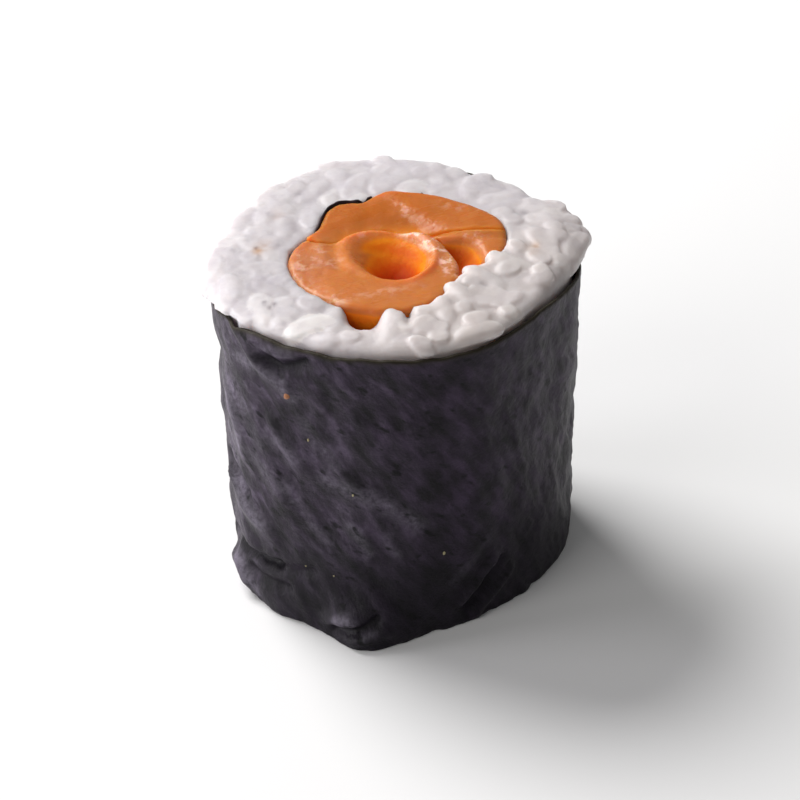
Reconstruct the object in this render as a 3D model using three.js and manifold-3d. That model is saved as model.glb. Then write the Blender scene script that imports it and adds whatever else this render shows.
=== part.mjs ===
// One piece of salmon maki, standing on a cut face: a rolled salmon filling in a thin inner strip of nori,
// a thick ring of sushi rice whose grains show on the upper cut face, and an outer nori wrap that laps over itself.
// Units are millimetres. +Z runs up the roll's axis, +X runs to the right of someone who faces the piece,
// and the origin lies on the table under the middle of the piece.

import * as THREE from "three";
import { mergeVertices } from "three/addons/utils/BufferGeometryUtils.js";
import Module from "manifold-3d";

const wasm = await Module();
wasm.setup();

const TURN = 2 * Math.PI;
const degrees = THREE.MathUtils.degToRad;
const { smoothstep, lerp } = THREE.MathUtils;

// ---- Driving dimensions ----
const PIECE_HEIGHT = 31.7; // height of the nori, a sixth of a 190 mm sheet
const WRAP_RADIUS = 17.2; // mean outer radius of the wrap at its upper edge
const FOOT_GIRTH = 0.965; // radius at the table, as a share of the radius at the upper edge
const NORI_THICKNESS = 0.45;
const CLEARANCE = 0.25; // gap left between neighbouring solids

// The outline's departures from a circle, as [lobes, share of the radius, direction of a peak].
const OUTLINE_LOBES = [
  [2, 0.048, degrees(45)],
  [3, 0.014, degrees(94)],
  [4, 0.031, degrees(16)],
];
// The swelling at the back left, as [share of the radius, direction, width].
const OUTLINE_SWELL = [0.05, degrees(130), degrees(27)];

// Where the foot draws in, as [share of the radius, direction, width, height it fades out at].
const FOOT_TUCKS = [
  [-0.095, degrees(193), degrees(28), 36],
  [-0.05, degrees(303), degrees(22), 14],
];
// Where the wrap's lower edge flares out, clear of the rice, in the same terms.
const WRAP_FLARES = [[0.15, degrees(261), degrees(12), 7]];

// ---- Outer wrap ----
const SEAM_ANGLE = degrees(62); // where the sheet's free end lies, at the back
const LAP_ANGLE = degrees(26); // how far the free end laps over the start
const RAMP_ANGLE = degrees(10); // the stretch in which the sheet climbs onto itself
const WRAP_STEPS = 84; // points along the sheet
const LEVELS = 7; // rows of points up the height of the piece
const CREASE_DEPTH = 0.2; // low waves round the piece, fading out at its upper edge

// ---- Filling ----
const FILLING_RADIUS = 10;
const FILLING_CENTRE = new THREE.Vector2(0, 0.45);
// Where the filling's outline swells, or is pressed in by the rice, as [amount, direction, width].
const FILLING_LOBES = [
  [-2.6, degrees(-37), degrees(29)],
  [-1.8, degrees(154), degrees(20)],
  [-0.8, degrees(111), degrees(9)],
  [1, degrees(22), degrees(26)],
  [0.7, degrees(-130), degrees(55)],
];
const FILLING_RISE = 1.1; // how far the salmon stands above the rice beside it
const FILM_THICKNESS = 0.3;
const FILLING_POINTS = 60;
const CURL_CENTRE = new THREE.Vector2(-0.7, -2.1);
const CURL_RADIUS = 6.4;
const CURL_TAIL_Y = 2.2; // where the curl's tail meets the crescent on the left
const CURL_FOOT_Y = -4.0; // everything nearer than this belongs to the curl
const WEDGE_EDGE_Y = 3.6; // where the wedge meets the crescent on the right
const WEDGE_DROP = 0.8; // how much lower the wedge ends than the other slices
const SLICE_BEVEL = 0.9;
const HOLLOW = { centre: new THREE.Vector2(-0.4, -0.9), radii: new THREE.Vector3(3.6, 4.5, 7.2) };

// ---- Rice ----
const RICE_CROWN = 0.5; // the rice core's height above the nori's upper edge
const RICE_BULGE = { reach: 1.3, angle: degrees(14), width: degrees(36) }; // rice spilling over the edge
const RICE_POINTS = 64;
const GRAIN = { length: 5.8, width: 2.8, thickness: 2.5 };
const GRAIN_COUNT = 86;
const GRAIN_SIDES = 6;
const GRAIN_TILT = degrees(16);
const GRAIN_SINK = 0.55; // depth of a grain's middle below the core's top
const RANDOM_SEED = 20;

// ---- Numbers ----

// A seeded generator of numbers from 0 to 1.
function seededRandom(seed) {
  let state = seed;
  return () => {
    state = (state * 1664525 + 1013904223) % 4294967296;
    return state / 4294967296;
  };
}

// Evenly spaced values from first to last, both included.
function spread(first, last, count) {
  return Array.from({ length: count }, (_, i) => lerp(first, last, i / (count - 1)));
}

// An angle brought into the half turn either side of zero.
function wrapAngle(angle) {
  return angle - TURN * Math.round(angle / TURN);
}

// A smooth hump that is 1 in one direction and fades away on either side of it.
function hump(angle, direction, width) {
  const away = wrapAngle(angle - direction) / width;
  return Math.exp(-away * away);
}

// ---- Outlines, seen from above ----

function polar(centre, angle, radius) {
  return new THREE.Vector2(centre.x + radius * Math.cos(angle), centre.y + radius * Math.sin(angle));
}

const AXIS = new THREE.Vector2(0, 0);

// The wrap's outer face at its upper edge.
function wrapRadius(angle) {
  const lobes = OUTLINE_LOBES.map(([n, share, peak]) => share * Math.cos(n * (angle - peak)));
  const [share, direction, width] = OUTLINE_SWELL;
  return WRAP_RADIUS * (1 + lobes.reduce((sum, lobe) => sum + lobe, share * hump(angle, direction, width)));
}

// The filling's outer face.
function fillingRadius(angle) {
  const lobes = FILLING_LOBES.map(([amount, direction, width]) => amount * hump(angle, direction, width));
  return FILLING_RADIUS + lobes.reduce((sum, lobe) => sum + lobe, 0);
}

function fillingPoint(angle, offset = 0) {
  return polar(FILLING_CENTRE, angle, fillingRadius(angle) + offset);
}

function ring(pointAt, count) {
  return Array.from({ length: count }, (_, i) => pointAt((TURN * i) / count));
}

// ---- Solids ----

// Girth of the piece at a height, as a share of its girth at the nori's upper edge.
function girth(z) {
  return lerp(FOOT_GIRTH, 1, z / PIECE_HEIGHT);
}

// Moves a geometry's points in or out from the axis, by a share that depends on direction and height.
function scaledRound(geometry, shareAt) {
  const position = geometry.getAttribute("position");
  for (let i = 0; i < position.count; i++) {
    const [x, y, z] = [position.getX(i), position.getY(i), position.getZ(i)];
    const share = shareAt(Math.atan2(y, x), z);
    position.setXY(i, x * share, y * share);
  }
  return geometry;
}

// The filling narrows evenly towards the table.
function narrowed(geometry) {
  return scaledRound(geometry, (_, z) => girth(z));
}

// The outside narrows too, and its foot has its own lobes, with low waves round the whole.
function footShaped(geometry, lobes) {
  return scaledRound(geometry, (angle, z) => {
    const shares = lobes.map(([share, direction, width, height]) => {
      return share * hump(angle, direction, width) * (1 - smoothstep(z, 0, height));
    });
    const wave = Math.sin(3 * angle + z / 4) * Math.sin(5 * angle - z / 7);
    const crease = (CREASE_DEPTH / WRAP_RADIUS) * wave * (1 - smoothstep(z, 0, PIECE_HEIGHT));
    return girth(z) + shares.reduce((sum, share) => sum + share, crease);
  });
}

function toSolid(geometry) {
  const bare = new THREE.BufferGeometry().setAttribute("position", geometry.getAttribute("position"));
  if (geometry.index) bare.setIndex(geometry.index);
  const merged = mergeVertices(bare, 1e-4);
  const mesh = new wasm.Mesh({
    numProp: 3,
    vertProperties: merged.getAttribute("position").array,
    triVerts: new Uint32Array(merged.index.array),
  });
  return new wasm.Manifold(mesh);
}

// Everything on and above the table.
function aboveTable() {
  const size = 4 * WRAP_RADIUS;
  return toSolid(new THREE.BoxGeometry(size, size, size).translate(0, 0, size / 2));
}

function toGeometry(solid) {
  const mesh = solid.getMesh();
  const geometry = new THREE.BufferGeometry();
  geometry.setAttribute("position", new THREE.BufferAttribute(mesh.vertProperties, 3));
  geometry.setIndex(new THREE.BufferAttribute(mesh.triVerts, 1));
  geometry.computeVertexNormals();
  return geometry;
}

function prism(outline, bottom, top, { hole = null, levels = 1 } = {}) {
  const shape = new THREE.Shape(outline);
  if (hole) shape.holes.push(new THREE.Path(hole));
  const geometry = new THREE.ExtrudeGeometry(shape, {
    depth: top - bottom,
    steps: levels,
    bevelEnabled: false,
  });
  return geometry.translate(0, 0, bottom);
}

// ---- Outer wrap ----

// The sheet's cross-section: a band that goes once round and laps over its own start.
function wrapOutline() {
  const end = SEAM_ANGLE + TURN + LAP_ANGLE;
  const climb = (angle) =>
    (NORI_THICKNESS + CLEARANCE) * smoothstep(angle, SEAM_ANGLE + TURN - RAMP_ANGLE, SEAM_ANGLE + TURN);
  const edge = (depth) => (angle) =>
    polar(AXIS, angle, wrapRadius(angle) - NORI_THICKNESS - CLEARANCE + climb(angle) + depth);
  const angles = spread(SEAM_ANGLE, end, WRAP_STEPS);
  const outside = angles.map(edge(NORI_THICKNESS));
  const inside = angles.map(edge(0)).reverse();
  return [...outside, ...inside];
}

function noriWrap() {
  const sheet = prism(wrapOutline(), 0, PIECE_HEIGHT, { levels: LEVELS });
  return footShaped(sheet, [...FOOT_TUCKS, ...WRAP_FLARES]);
}

// ---- Inner strip of nori round the filling ----

const FILM_INNER = CLEARANCE;
const FILM_OUTER = CLEARANCE + FILM_THICKNESS;

function innerNori() {
  const outline = ring((angle) => fillingPoint(angle, FILM_OUTER), FILLING_POINTS);
  const hole = ring((angle) => fillingPoint(angle, FILM_INNER), FILLING_POINTS);
  return narrowed(prism(outline, 0, PIECE_HEIGHT, { hole }));
}

// ---- Salmon ----

const FILLING_TOP = PIECE_HEIGHT + RICE_CROWN + FILLING_RISE;
const HALF_GAP = CLEARANCE / 2;
const REACH = 2 * WRAP_RADIUS;

// A block between two corners seen from above, taller than the piece.
function block(left, near, right, far) {
  return toSolid(
    narrowed(
      new THREE.BoxGeometry(right - left, far - near, 2 * REACH).translate(
        (left + right) / 2,
        (near + far) / 2,
        REACH,
      ),
    ),
  );
}

// The whole filling, from the table to its rounded upper edge.
function filling(top) {
  const outline = new THREE.Shape(ring(fillingPoint, FILLING_POINTS));
  const geometry = new THREE.ExtrudeGeometry(outline, {
    depth: top,
    bevelThickness: SLICE_BEVEL,
    bevelSize: SLICE_BEVEL,
    bevelOffset: -SLICE_BEVEL,
    bevelSegments: 3,
  });
  return toSolid(narrowed(geometry.translate(0, 0, -SLICE_BEVEL))).intersect(aboveTable());
}

// What the rolled slice takes up: a round curl, its tail on the left and all that lies nearest.
function curlRegion(offset) {
  const radius = CURL_RADIUS + offset;
  const drum = new THREE.CylinderGeometry(radius, radius, 2 * REACH, 36)
    .rotateX(Math.PI / 2)
    .translate(CURL_CENTRE.x, CURL_CENTRE.y, REACH);
  const tail = block(-REACH, -REACH, CURL_CENTRE.x, CURL_TAIL_Y + offset);
  const foot = block(-REACH, -REACH, REACH, CURL_FOOT_Y + offset);
  return toSolid(narrowed(drum)).add(tail).add(foot);
}

// What lies on the right, on the near side of the crescent.
function wedgeRegion(offset) {
  return block(CURL_CENTRE.x, -REACH, REACH, WEDGE_EDGE_Y + offset);
}

function salmonCurl() {
  const hollow = new THREE.SphereGeometry(1, 16, 10)
    .rotateX(Math.PI / 2)
    .scale(...HOLLOW.radii)
    .translate(HOLLOW.centre.x, HOLLOW.centre.y, FILLING_TOP);
  return toGeometry(filling(FILLING_TOP).intersect(curlRegion(-HALF_GAP)).subtract(toSolid(hollow)));
}

function salmonCrescent() {
  const rest = filling(FILLING_TOP).subtract(curlRegion(HALF_GAP));
  return toGeometry(rest.subtract(wedgeRegion(HALF_GAP)));
}

function salmonWedge() {
  const rest = filling(FILLING_TOP - WEDGE_DROP).subtract(curlRegion(HALF_GAP));
  return toGeometry(rest.intersect(wedgeRegion(-HALF_GAP)));
}

// ---- Rice ----

const riceInner = (angle) => fillingPoint(angle, FILM_OUTER + CLEARANCE);
const riceOuter = (angle) => polar(AXIS, angle, wrapRadius(angle) - NORI_THICKNESS - 2 * CLEARANCE);

// The rice's edge above the nori, where it spills outwards on the right.
function spillEdge(angle) {
  const reach = RICE_BULGE.reach * hump(angle, RICE_BULGE.angle, RICE_BULGE.width);
  return polar(AXIS, angle, wrapRadius(angle) - NORI_THICKNESS - CLEARANCE + reach);
}

// The rice round the filling, up to a little above the nori's upper edge.
function riceCore() {
  const body = prism(ring(riceOuter, RICE_POINTS), 0, PIECE_HEIGHT + CLEARANCE, { levels: LEVELS });
  return toSolid(footShaped(body, FOOT_TUCKS)).add(crown(RICE_CROWN));
}

// The rice that stands above the nori, up to a height over the nori's upper edge.
function crown(height) {
  const bottom = PIECE_HEIGHT + CLEARANCE;
  return toSolid(prism(ring(spillEdge, RICE_POINTS), bottom, PIECE_HEIGHT + height));
}

// The space that the filling and its inner strip of nori take up.
function fillingRoom() {
  return toSolid(narrowed(prism(ring(riceInner, FILLING_POINTS), -1, 2 * PIECE_HEIGHT)));
}

// A cooked grain, long in X, blunt at both ends and centred on the origin.
function grain() {
  const [half, middle] = [GRAIN.length / 2, GRAIN.width / 2];
  const profile = [
    [0, -half],
    [0.72 * middle, -0.78 * half],
    [middle, -0.1 * half],
    [0.76 * middle, 0.76 * half],
    [0, half],
  ];
  return new THREE.LatheGeometry(profile.map(([x, y]) => new THREE.Vector2(x, y)), GRAIN_SIDES)
    .rotateZ(Math.PI / 2)
    .scale(1, 1, GRAIN.thickness / GRAIN.width);
}

// Grains lie spread evenly over the upper cut face, by the golden angle, each turned and tilted its own way.
function faceGrains() {
  const random = seededRandom(RANDOM_SEED);
  const goldenAngle = Math.PI * (3 - Math.sqrt(5));
  const margin = GRAIN.width / 2;
  return Array.from({ length: GRAIN_COUNT }, (_, i) => {
    const angle = i * goldenAngle;
    const inner = riceInner(angle).length() + margin;
    const outer = spillEdge(angle).length() - margin;
    const radius = Math.sqrt(lerp(inner * inner, outer * outer, (i + 0.5) / GRAIN_COUNT));
    const tilt = GRAIN_TILT * (2 * random() - 1);
    const roll = GRAIN_TILT * (2 * random() - 1);
    const turn = new THREE.Euler(tilt, roll, TURN * random(), "ZYX");
    const depth = GRAIN_SINK * (0.6 + 0.8 * random());
    const place = polar(AXIS, angle, radius);
    const matrix = new THREE.Matrix4().makeRotationFromEuler(turn);
    matrix.setPosition(place.x, place.y, PIECE_HEIGHT + RICE_CROWN - depth);
    return toSolid(grain().applyMatrix4(matrix));
  });
}

function rice() {
  const room = crown(GRAIN.thickness);
  const core = riceCore();
  const heap = faceGrains().reduce((sum, piece) => sum.add(piece.intersect(room)), core);
  return toGeometry(heap.subtract(fillingRoom()));
}

// ---- The piece ----

const material = (color, roughness) => new THREE.MeshStandardMaterial({ color, roughness, metalness: 0 });
const NORI = material("#25222a", 0.5);
const RICE = material("#dcd6da", 0.45);
const SALMON = material("#d4702f", 0.3);

function part(name, geometry, look) {
  const mesh = new THREE.Mesh(geometry, look);
  mesh.name = name;
  return mesh;
}

const maki = new THREE.Group();
maki.add(
  part("nori_wrap", noriWrap(), NORI),
  part("rice", rice(), RICE),
  part("nori_inner_strip", innerNori(), NORI),
  part("salmon_curl", salmonCurl(), SALMON),
  part("salmon_crescent", salmonCrescent(), SALMON),
  part("salmon_wedge", salmonWedge(), SALMON),
);

// The origin goes under the middle of the piece's box.
const middle = new THREE.Box3().setFromObject(maki).getCenter(new THREE.Vector3());
maki.position.set(-middle.x, -middle.y, 0);

export default maki;
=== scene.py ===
"""One piece of salmon maki, standing on a cut face: its rice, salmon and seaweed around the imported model.

Lengths are millimetres, measured from the roll's axis on the table, until a mesh is made.
"""

import itertools

import bmesh
import bpy
import numpy as np
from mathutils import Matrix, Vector


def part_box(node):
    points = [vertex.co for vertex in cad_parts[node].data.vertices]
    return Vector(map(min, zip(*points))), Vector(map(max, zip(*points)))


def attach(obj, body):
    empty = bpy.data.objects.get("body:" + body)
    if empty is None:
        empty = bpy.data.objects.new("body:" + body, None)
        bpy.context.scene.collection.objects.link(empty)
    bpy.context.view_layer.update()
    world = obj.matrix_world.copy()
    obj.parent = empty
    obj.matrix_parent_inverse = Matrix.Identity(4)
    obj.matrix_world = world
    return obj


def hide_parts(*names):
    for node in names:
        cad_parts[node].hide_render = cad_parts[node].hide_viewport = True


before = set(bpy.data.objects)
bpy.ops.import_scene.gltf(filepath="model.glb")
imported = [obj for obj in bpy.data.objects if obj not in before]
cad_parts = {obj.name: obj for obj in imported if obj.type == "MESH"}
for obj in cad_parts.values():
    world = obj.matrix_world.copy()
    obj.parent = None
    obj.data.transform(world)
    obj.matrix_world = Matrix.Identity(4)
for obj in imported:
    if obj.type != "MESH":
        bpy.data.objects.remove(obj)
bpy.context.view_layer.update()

MM = 0.001
TURN = 2 * np.pi
deg = np.radians

# ---- Driving dimensions, as in the part's source. Rows give directions and widths in degrees ----
PIECE_HEIGHT = 31.7
WRAP_RADIUS = 17.2
FOOT_GIRTH = 0.965
OUTLINE_LOBES = [(2, 0.048, 45), (3, 0.014, 94), (4, 0.031, 16)]
OUTLINE_SWELL = (0.05, 130, 27)
FOOT_TUCKS = [(-0.095, 193, 28, 36), (-0.05, 303, 22, 14)]
WRAP_FLARES = [(0.15, 261, 12, 7)]
CLEARANCE = 0.25
SEAM_ANGLE = deg(62)
LAP_ANGLE = deg(26)
RAMP_ANGLE = deg(10)
FILLING_RADIUS = 10.0
FILLING_CENTRE = (0.0, 0.45)
FILLING_LOBES = [
    (-2.6, -37, 29),
    (-1.8, 154, 20),
    (-0.8, 111, 9),
    (1.0, 22, 26),
    (0.7, -130, 55),
]
FILM_THICKNESS = 0.3
CURL_CENTRE = (-0.7, -2.1)
CURL_RADIUS = 6.4
CURL_TAIL_Y = 2.2
CURL_FOOT_Y = -4.0
WEDGE_EDGE_Y = 3.6
RICE_CROWN = 0.5
FILLING_RISE = 1.1
HOLLOW_CENTRE = (-0.4, -0.9)

FILLING_TOP = PIECE_HEIGHT + RICE_CROWN + FILLING_RISE
FILM_OUTER = CLEARANCE + FILM_THICKNESS


# ---- Numbers ----

def fade(value, start, end):
    """0 before start, 1 after end, smooth between."""
    t = np.clip((value - start) / (end - start), 0, 1)
    return t * t * (3 - 2 * t)


def bell(value, width):
    """1 where the value is 0, fading away on either side of it."""
    return np.exp(-((value / width) ** 2))


def hump(angle, direction, width):
    """1 in one direction, fading away over a width on either side of it, both in degrees."""
    return bell((angle - deg(direction) + np.pi) % TURN - np.pi, deg(width))


def humps(angle, rows):
    """A sum of humps, from rows of (amount, direction, width)."""
    return sum(amount * hump(angle, *where) for amount, *where in rows)


def soft_min(a, b, blend):
    """The smaller of two fields, with the crease between them rounded."""
    h = np.clip(0.5 + 0.5 * (b - a) / blend, 0, 1)
    return b + (a - b) * h - blend * h * (1 - h)


def soft_max(a, b, blend):
    return -soft_min(-a, -b, blend)


LATTICE = np.random.default_rng(3).uniform(-1, 1, (41, 41, 41))


def noise(points, size, seed=0):
    """Smooth random values from -1 to 1 that vary over a length of size, which may be one for each axis."""
    spots = points / np.asarray(size, float) + seed * 7.31
    cell = np.floor(spots).astype(int)
    t = spots - cell
    t = t * t * (3 - 2 * t)
    total = np.zeros(points.shape[:-1])
    for corner in itertools.product((0, 1), repeat=3):
        weight = np.prod(np.where(corner, t, 1 - t), axis=-1)
        i, j, k = np.moveaxis((cell + corner) % len(LATTICE), -1, 0)
        total += weight * LATTICE[i, j, k]
    return total


def octaves(points, size, count, seed=0):
    """Noise with finer noise of half the strength on it, count times in all."""
    return sum(noise(points, np.asarray(size, float) / 2**i, seed + i) / 2**i for i in range(count))


def points_at(x, y, z=0.0):
    """Points with X, Y and Z along the last axis."""
    return np.stack(np.broadcast_arrays(x, y, z), axis=-1)


def points_round(radius, angle, z=0.0):
    """Points at a distance and in a direction from the roll's axis."""
    return points_at(radius * np.cos(angle), radius * np.sin(angle), z)


# ---- Outlines, seen from above ----

def wrap_radius(angle):
    """The wrap's outer face at its upper edge."""
    lobes = sum(share * np.cos(n * (angle - deg(peak))) for n, share, peak in OUTLINE_LOBES)
    return WRAP_RADIUS * (1 + lobes + humps(angle, [OUTLINE_SWELL]))


def girth(z):
    """The piece's width at a height, as a share of its width at the upper edge."""
    return FOOT_GIRTH + (1 - FOOT_GIRTH) * z / PIECE_HEIGHT


def foot_share(angle, z, lobes):
    """How much the outside is drawn in or flared at a height, as a share of the radius at the upper edge."""
    drawn = sum(share * hump(angle, way, width) * (1 - fade(z, 0, top)) for share, way, width, top in lobes)
    return girth(z) + drawn


def filling_radius(angle):
    return FILLING_RADIUS + humps(angle, FILLING_LOBES)


def polar_about(centre, x, y):
    x, y = x - centre[0], y - centre[1]
    return np.hypot(x, y), np.arctan2(y, x)


def round_filling(reach, angle):
    """Places at a distance and in a direction from the filling's middle."""
    return FILLING_CENTRE[0] + reach * np.cos(angle), FILLING_CENTRE[1] + reach * np.sin(angle)


def beside_filling(x, y):
    """How far points lie outside the filling's outline, and their direction from its middle."""
    reach, angle = polar_about(FILLING_CENTRE, x, y)
    return reach - filling_radius(angle), angle


def from_line(x, y, start, end):
    """Distance from a straight line between two points, and the signed distance to its left."""
    start, end = np.array(start), np.array(end)
    along = end - start
    length = np.hypot(*along)
    t = np.clip(((x - start[0]) * along[0] + (y - start[1]) * along[1]) / length**2, 0, 1)
    across = ((y - start[1]) * along[0] - (x - start[0]) * along[1]) / length
    return np.hypot(x - start[0] - t * along[0], y - start[1] - t * along[1]), across


# ---- Meshes ----

def roll_axis():
    """Where the roll's axis stands in the frame, found from the inner strip's box."""
    angles = np.linspace(0, TURN, 721)
    outline = np.column_stack(round_filling(filling_radius(angles) + FILM_OUTER, angles))
    low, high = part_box("nori_inner_strip")
    measured = np.array([low.x + high.x, low.y + high.y]) / 2 / MM
    return measured - (outline.min(axis=0) + outline.max(axis=0)) / 2


AXIS = roll_axis()


def to_frame(points):
    return (np.asarray(points, float) + (AXIS[0], AXIS[1], 0)) * MM


def surface_of(field, axes):
    """The surface on which a field on a box grid is zero, as points and quads. It is negative inside.

    Each crossed grid line gets a quad between the four cells round it. A cell's point is the mean of the
    crossings on its edges.
    """
    cells = tuple(n - 1 for n in field.shape)
    size = int(np.prod(cells))
    units = np.eye(3, dtype=int)
    count = np.zeros(size)
    total = np.zeros((3, size))
    rings = []
    for axis, unit in enumerate(units):
        near = field[tuple(slice(0, n - s) for n, s in zip(field.shape, unit))]
        far = field[tuple(slice(s, n) for n, s in zip(field.shape, unit))]
        start = np.argwhere((near < 0) != (far < 0))
        a, b = near[tuple(start.T)], far[tuple(start.T)]
        place = start + unit * (a / (a - b))[:, None]
        u, v = units[(axis + 1) % 3], units[(axis + 2) % 3]
        ring = [np.ravel_multi_index(cell.T, cells) for cell in (start, start - u, start - u - v, start - v)]
        for cell in ring:
            count += np.bincount(cell, minlength=size)
            for k in range(3):
                total[k] += np.bincount(cell, weights=place[:, k], minlength=size)
        ring = np.column_stack(ring)
        rings.append(np.where((a < 0)[:, None], ring, ring[:, ::-1]))
    used = np.flatnonzero(count)
    number = np.full(size, -1)
    number[used] = np.arange(len(used))
    index = (total[:, used] / count[used]).T
    points = np.column_stack([np.interp(index[:, k], np.arange(len(axes[k])), axes[k]) for k in range(3)])
    return points, number[np.vstack(rings)]


def make_piece(name, points, faces, material, node, values):
    """A smooth mesh that rides on the roll, may stand for a node, and keeps values for its material."""
    mesh = bpy.data.meshes.new(name)
    mesh.from_pydata(to_frame(points).tolist(), [], np.asarray(faces).tolist())
    mesh.validate()
    mesh.shade_smooth()
    mesh.materials.append(material)
    piece = bpy.data.objects.new(name, mesh)
    bpy.context.scene.collection.objects.link(piece)
    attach(piece, "root")
    if node:
        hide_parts(node)
    for label, numbers in values.items():
        layer = piece.data.attributes.new(label, "FLOAT", "POINT")
        layer.data.foreach_set("value", np.asarray(numbers, np.float32))


def make_sheet(name, sides, loop, material, node, values):
    """A thin sheet from grids of points on its outer and inner side. A loop closes on itself all round."""
    number = np.arange(sides[0].size // 3).reshape(sides[0].shape[:2])
    near, far = (number, np.roll(number, -1, axis=0)) if loop else (number[:-1], number[1:])
    quads = np.stack((near[:, :-1], far[:, :-1], far[:, 1:], near[:, 1:]), axis=-1).reshape(-1, 4)
    borders = [(near[:, -1], far[:, -1]), (far[:, 0], near[:, 0])]
    if not loop:
        borders += [(number[0, :-1], number[0, 1:]), (number[-1, 1:], number[-1, :-1])]
    edges = [np.stack((a, b, b + number.size, a + number.size), axis=-1) for a, b in borders]
    faces = np.vstack([quads, quads[:, ::-1] + number.size] + edges)
    points = np.vstack([side.reshape(-1, 3) for side in sides])
    values = {label: np.tile(numbers.ravel(), 2) for label, numbers in values.items()}
    make_piece(name, points, faces, material, node, values)


def roughened(points, faces, relief):
    """Points of a surface moved out by a relief, and none of them left below the table."""
    a, b, c, d = (points[faces[:, k]] for k in range(4))
    across = np.cross(c - a, d - b)
    normals = np.zeros_like(points)
    for k in range(4):
        for axis in range(3):
            normals[:, axis] += np.bincount(faces[:, k], weights=across[:, axis], minlength=len(points))
    normals /= np.maximum(np.linalg.norm(normals, axis=1), 1e-12)[:, None]
    points = points + normals * relief[:, None]
    points[:, 2] = np.maximum(points[:, 2], 0)
    return points


def grid_lines(*stretches):
    """Grid lines along one axis, from stretches of (start, end, spacing)."""
    lines = [np.arange(start, end - spacing / 2, spacing) for start, end, spacing in stretches]
    return np.concatenate(lines + [[stretches[-1][1]]])


def block_axes(reach, pitch, low, high, coarse):
    """Grid lines of a block round the axis, set wider between two heights, where only plain walls are."""
    line = grid_lines((-reach, reach, pitch))
    return line, line, grid_lines((-0.5, low, pitch), (low, high, coarse), (high, 34.9, pitch))


# ---- Materials ----

def new_material(name):
    material = bpy.data.materials.new(name)
    material.use_nodes = True
    return material, material.node_tree, material.node_tree.nodes["Principled BSDF"]


def set_inputs(tree, node, inputs):
    """Gives a node's inputs numbers, vectors, colours or what other sockets make."""
    for name, value in inputs.items():
        socket = node.inputs[name]
        if isinstance(value, bpy.types.NodeSocket):
            tree.links.new(value, socket)
        else:
            socket.default_value = (*value, 1) if socket.type == "RGBA" else value


def add_node(tree, kind, inputs, output, **settings):
    """Adds a node and gives back what it makes."""
    node = tree.nodes.new(kind)
    for name, value in settings.items():
        setattr(node, name, value)
    set_inputs(tree, node, inputs)
    return node.outputs[output]


def object_place(tree):
    return add_node(tree, "ShaderNodeTexCoord", {}, "Object")


def attribute(tree, name):
    return add_node(tree, "ShaderNodeAttribute", {}, "Fac", attribute_name=name)


def texture(tree, place, scale, detail, roughness=0.5):
    inputs = {"Vector": place, "Scale": scale, "Detail": detail, "Roughness": roughness}
    return add_node(tree, "ShaderNodeTexNoise", inputs, "Fac")


def mix(tree, share, a, b, blend="MIX"):
    """Mixes two colours by a share."""
    return add_node(tree, "ShaderNodeMix", {0: share, 6: a, 7: b}, 2, data_type="RGBA", blend_type=blend)


def maths(tree, operation, a, b, c=0.0, clamp=False):
    return add_node(tree, "ShaderNodeMath", {0: a, 1: b, 2: c}, 0, operation=operation, use_clamp=clamp)


def times(tree, a, b, clamp=False):
    return maths(tree, "MULTIPLY", a, b, clamp=clamp)


def bump(tree, height, strength, distance, under=None):
    """Relief for a shader's normal, on top of the relief under it where there is one."""
    inputs = {"Height": height, "Strength": strength, "Distance": distance}
    if under:
        inputs["Normal"] = under
    return add_node(tree, "ShaderNodeBump", inputs, "Normal")


def drawn_out(tree, place, lengths, turn):
    """Coordinates for a texture that is drawn out to these lengths along axes turned by degrees round Z."""
    inputs = {"Vector": place, "Rotation": (0, 0, deg(turn)), "Scale": lengths}
    return add_node(tree, "ShaderNodeMapping", inputs, "Vector", vector_type="TEXTURE")


def ramp(tree, value, *stops):
    """Colours along a value: stops are (position, (r, g, b))."""
    made = tree.nodes.new("ShaderNodeValToRGB")
    elements = made.color_ramp.elements
    while len(elements) < len(stops):
        elements.new(0.5)
    for element, (position, colour) in zip(elements, stops):
        element.position = position
        element.color = (*colour, 1)
    set_inputs(tree, made, {"Fac": value})
    return made.outputs["Color"]


def rice_material():
    material, tree, shader = new_material("cooked_rice")
    plain = object_place(tree)
    tone = attribute(tree, "tone")
    colour = ramp(tree, tone, (0, (0.5, 0.465, 0.49)), (0.5, (0.58, 0.545, 0.575)), (1, (0.74, 0.71, 0.71)))
    cloud = texture(tree, plain, 300, 2)
    colour = mix(tree, times(tree, cloud, 0.3), colour, (0.60, 0.56, 0.51))
    mottle = texture(tree, plain, 620, 3, 0.6)
    shade = ramp(tree, mottle, (0.32, (0.92, 0.91, 0.93)), (0.5, (1, 1, 1)), (0.72, (1.06, 1.06, 1.05)))
    colour = mix(tree, 1.0, colour, shade, "MULTIPLY")
    # Painted shade: a darker, warmer grey on the near and right sides of the rice.
    warm = times(tree, attribute(tree, "warm"), 0.5)
    colour = mix(tree, warm, colour, (0.56, 0.495, 0.45))
    colour = mix(tree, attribute(tree, "orange_stain"), colour, (0.5, 0.3, 0.17))
    colour = mix(tree, attribute(tree, "grey_stain"), colour, (0.13, 0.1, 0.13))
    set_inputs(tree, shader, {
        "Base Color": colour,
        "Normal": bump(tree, texture(tree, plain, 1500, 2), 0.2, 0.0001),
        "Roughness": 0.5,
        "Specular IOR Level": 0.35,
        "Subsurface Weight": 0.85,
        "Subsurface Radius": (1.0, 0.9, 0.85),
        "Subsurface Scale": 0.0026,
    })
    return material


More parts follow.
